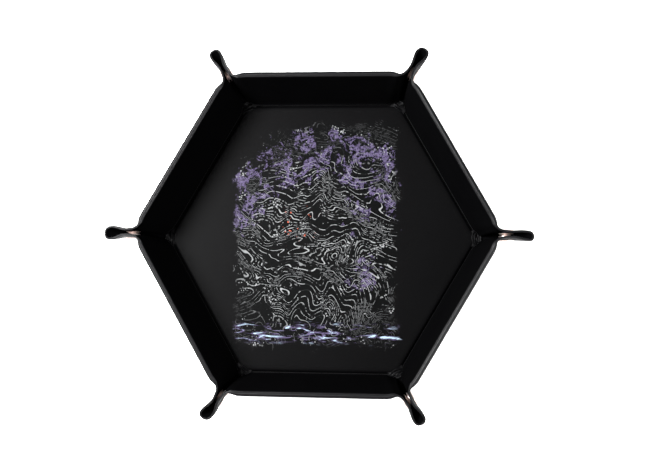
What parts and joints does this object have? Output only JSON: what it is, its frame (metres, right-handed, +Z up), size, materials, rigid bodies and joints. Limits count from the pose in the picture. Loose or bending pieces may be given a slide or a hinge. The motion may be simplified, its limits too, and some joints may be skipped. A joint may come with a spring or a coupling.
{
  "type": "folding dice tray",
  "caption": "Hexagonal snap-corner dice rolling tray: stiffened leatherette walls fold up from a lined floor and snap into pinched corner ears, or fold down flat.",
  "frame": {"origin": "centre of the snapped tray's underside, on the surface it stands on", "axes": "+Z up out of the tray, +X towards one corner, +Y towards the middle of a wall"},
  "size_m": [0.2688, 0.2356, 0.0429],
  "materials": {
    "leatherette": "satin, fine pebble grain",
    "microfibre": "matte, with a printed cloud pattern on the floor",
    "greyboard": "raw",
    "ear_laminate": "satin outside, matte lining inside",
    "snap_metal": "polished rose-toned nickel plate"
  },
  "bodies": {
    "base": {"base_cover": "leatherette", "base_board": "greyboard", "base_liner": "microfibre"},
    "wall_1": {"wall_1_cover": "leatherette", "wall_1_board": "greyboard", "wall_1_liner": "microfibre"},
    "wall_2": {"wall_2_cover": "leatherette", "wall_2_board": "greyboard", "wall_2_liner": "microfibre"},
    "wall_3": {"wall_3_cover": "leatherette", "wall_3_board": "greyboard", "wall_3_liner": "microfibre"},
    "wall_4": {"wall_4_cover": "leatherette", "wall_4_board": "greyboard", "wall_4_liner": "microfibre"},
    "wall_5": {"wall_5_cover": "leatherette", "wall_5_board": "greyboard", "wall_5_liner": "microfibre"},
    "wall_6": {"wall_6_cover": "leatherette", "wall_6_board": "greyboard", "wall_6_liner": "microfibre"},
    "ear_1a": {"ear_1a": "ear_laminate", "snap_1_stud": "snap_metal", "snap_1_post": "snap_metal"},
    "ear_1b": {"ear_1b": "ear_laminate", "snap_1_cap": "snap_metal", "snap_1_socket": "snap_metal"},
    "ear_2a": {"ear_2a": "ear_laminate", "snap_2_stud": "snap_metal", "snap_2_post": "snap_metal"},
    "ear_2b": {"ear_2b": "ear_laminate", "snap_2_cap": "snap_metal", "snap_2_socket": "snap_metal"},
    "ear_3a": {"ear_3a": "ear_laminate", "snap_3_stud": "snap_metal", "snap_3_post": "snap_metal"},
    "ear_3b": {"ear_3b": "ear_laminate", "snap_3_cap": "snap_metal", "snap_3_socket": "snap_metal"},
    "ear_4a": {"ear_4a": "ear_laminate", "snap_4_cap": "snap_metal", "snap_4_socket": "snap_metal"},
    "ear_4b": {"ear_4b": "ear_laminate", "snap_4_stud": "snap_metal", "snap_4_post": "snap_metal"},
    "ear_5a": {"ear_5a": "ear_laminate", "snap_5_cap": "snap_metal", "snap_5_socket": "snap_metal"},
    "ear_5b": {"ear_5b": "ear_laminate", "snap_5_stud": "snap_metal", "snap_5_post": "snap_metal"},
    "ear_6a": {"ear_6a": "ear_laminate", "snap_6_cap": "snap_metal", "snap_6_socket": "snap_metal"},
    "ear_6b": {"ear_6b": "ear_laminate", "snap_6_stud": "snap_metal", "snap_6_post": "snap_metal"}
  },
  "joints": [
    {"name": "wall_1_fold", "type": "hinge", "parent": "base", "child": "wall_1", "pos_m": [0.07725, 0.0446, 0.0007], "axis": [-0.5, 0.866, 0], "range_deg": [0, 72]},
    {"name": "wall_2_fold", "type": "hinge", "parent": "base", "child": "wall_2", "pos_m": [0, 0.0892, 0.0007], "axis": [-1, 0, 0], "range_deg": [0, 72]},
    {"name": "wall_3_fold", "type": "hinge", "parent": "base", "child": "wall_3", "pos_m": [-0.07725, 0.0446, 0.0007], "axis": [-0.5, -0.866, 0], "range_deg": [0, 72]},
    {"name": "wall_4_fold", "type": "hinge", "parent": "base", "child": "wall_4", "pos_m": [-0.07725, -0.0446, 0.0007], "axis": [0.5, -0.866, 0], "range_deg": [0, 72]},
    {"name": "wall_5_fold", "type": "hinge", "parent": "base", "child": "wall_5", "pos_m": [0, -0.0892, 0.0007], "axis": [1, 0, 0], "range_deg": [0, 72]},
    {"name": "wall_6_fold", "type": "hinge", "parent": "base", "child": "wall_6", "pos_m": [0.07725, -0.0446, 0.0007], "axis": [0.5, 0.866, 0], "range_deg": [0, 72]},
    {"name": "ear_1a_fold", "type": "hinge", "parent": "wall_1", "child": "ear_1a", "pos_m": [0.10751, 0.0021, 0.01986], "axis": [-0.2861, 0, -0.9582], "range_deg": [0, 58.27]},
    {"name": "ear_1b_fold", "type": "hinge", "parent": "wall_6", "child": "ear_1b", "pos_m": [0.10751, -0.0021, 0.01986], "axis": [0.2861, 0, 0.9582], "range_deg": [0, 58.27]},
    {"name": "ear_2a_fold", "type": "hinge", "parent": "wall_2", "child": "ear_2a", "pos_m": [0.05194, 0.09416, 0.01986], "axis": [-0.1431, -0.2478, -0.9582], "range_deg": [0, 58.27]},
    {"name": "ear_2b_fold", "type": "hinge", "parent": "wall_1", "child": "ear_2b", "pos_m": [0.05557, 0.09206, 0.01986], "axis": [0.1431, 0.2478, 0.9582], "range_deg": [0, 58.27]},
    {"name": "ear_3a_fold", "type": "hinge", "parent": "wall_3", "child": "ear_3a", "pos_m": [-0.05557, 0.09206, 0.01986], "axis": [0.1431, -0.2478, -0.9582], "range_deg": [0, 58.27]},
    {"name": "ear_3b_fold", "type": "hinge", "parent": "wall_2", "child": "ear_3b", "pos_m": [-0.05194, 0.09416, 0.01986], "axis": [-0.1431, 0.2478, 0.9582], "range_deg": [0, 58.27]},
    {"name": "ear_4a_fold", "type": "hinge", "parent": "wall_4", "child": "ear_4a", "pos_m": [-0.10751, -0.0021, 0.01986], "axis": [0.2861, 0, -0.9582], "range_deg": [0, 58.27]},
    {"name": "ear_4b_fold", "type": "hinge", "parent": "wall_3", "child": "ear_4b", "pos_m": [-0.10751, 0.0021, 0.01986], "axis": [-0.2861, 0, 0.9582], "range_deg": [0, 58.27]},
    {"name": "ear_5a_fold", "type": "hinge", "parent": "wall_5", "child": "ear_5a", "pos_m": [-0.05194, -0.09416, 0.01986], "axis": [0.1431, 0.2478, -0.9582], "range_deg": [0, 58.27]},
    {"name": "ear_5b_fold", "type": "hinge", "parent": "wall_4", "child": "ear_5b", "pos_m": [-0.05557, -0.09206, 0.01986], "axis": [-0.1431, -0.2478, 0.9582], "range_deg": [0, 58.27]},
    {"name": "ear_6a_fold", "type": "hinge", "parent": "wall_6", "child": "ear_6a", "pos_m": [0.05557, -0.09206, 0.01986], "axis": [-0.1431, 0.2478, -0.9582], "range_deg": [0, 58.27]},
    {"name": "ear_6b_fold", "type": "hinge", "parent": "wall_5", "child": "ear_6b", "pos_m": [0.05194, -0.09416, 0.01986], "axis": [0.1431, -0.2478, 0.9582], "range_deg": [0, 58.27]}
  ],
  "couplings": [
    {"joint": "wall_2_fold", "follows": "wall_1_fold", "ratio": 1},
    {"joint": "wall_3_fold", "follows": "wall_1_fold", "ratio": 1},
    {"joint": "wall_4_fold", "follows": "wall_1_fold", "ratio": 1},
    {"joint": "wall_5_fold", "follows": "wall_1_fold", "ratio": 1},
    {"joint": "wall_6_fold", "follows": "wall_1_fold", "ratio": 1},
    {"joint": "ear_1a_fold", "follows": "wall_1_fold", "ratio": 0.80859},
    {"joint": "ear_1b_fold", "follows": "wall_1_fold", "ratio": 0.80859},
    {"joint": "ear_2a_fold", "follows": "wall_1_fold", "ratio": 0.80859},
    {"joint": "ear_2b_fold", "follows": "wall_1_fold", "ratio": 0.80859},
    {"joint": "ear_3a_fold", "follows": "wall_1_fold", "ratio": 0.80859},
    {"joint": "ear_3b_fold", "follows": "wall_1_fold", "ratio": 0.80859},
    {"joint": "ear_4a_fold", "follows": "wall_1_fold", "ratio": 0.80859},
    {"joint": "ear_4b_fold", "follows": "wall_1_fold", "ratio": 0.80859},
    {"joint": "ear_5a_fold", "follows": "wall_1_fold", "ratio": 0.80859},
    {"joint": "ear_5b_fold", "follows": "wall_1_fold", "ratio": 0.80859},
    {"joint": "ear_6a_fold", "follows": "wall_1_fold", "ratio": 0.80859},
    {"joint": "ear_6b_fold", "follows": "wall_1_fold", "ratio": 0.80859}
  ]
}
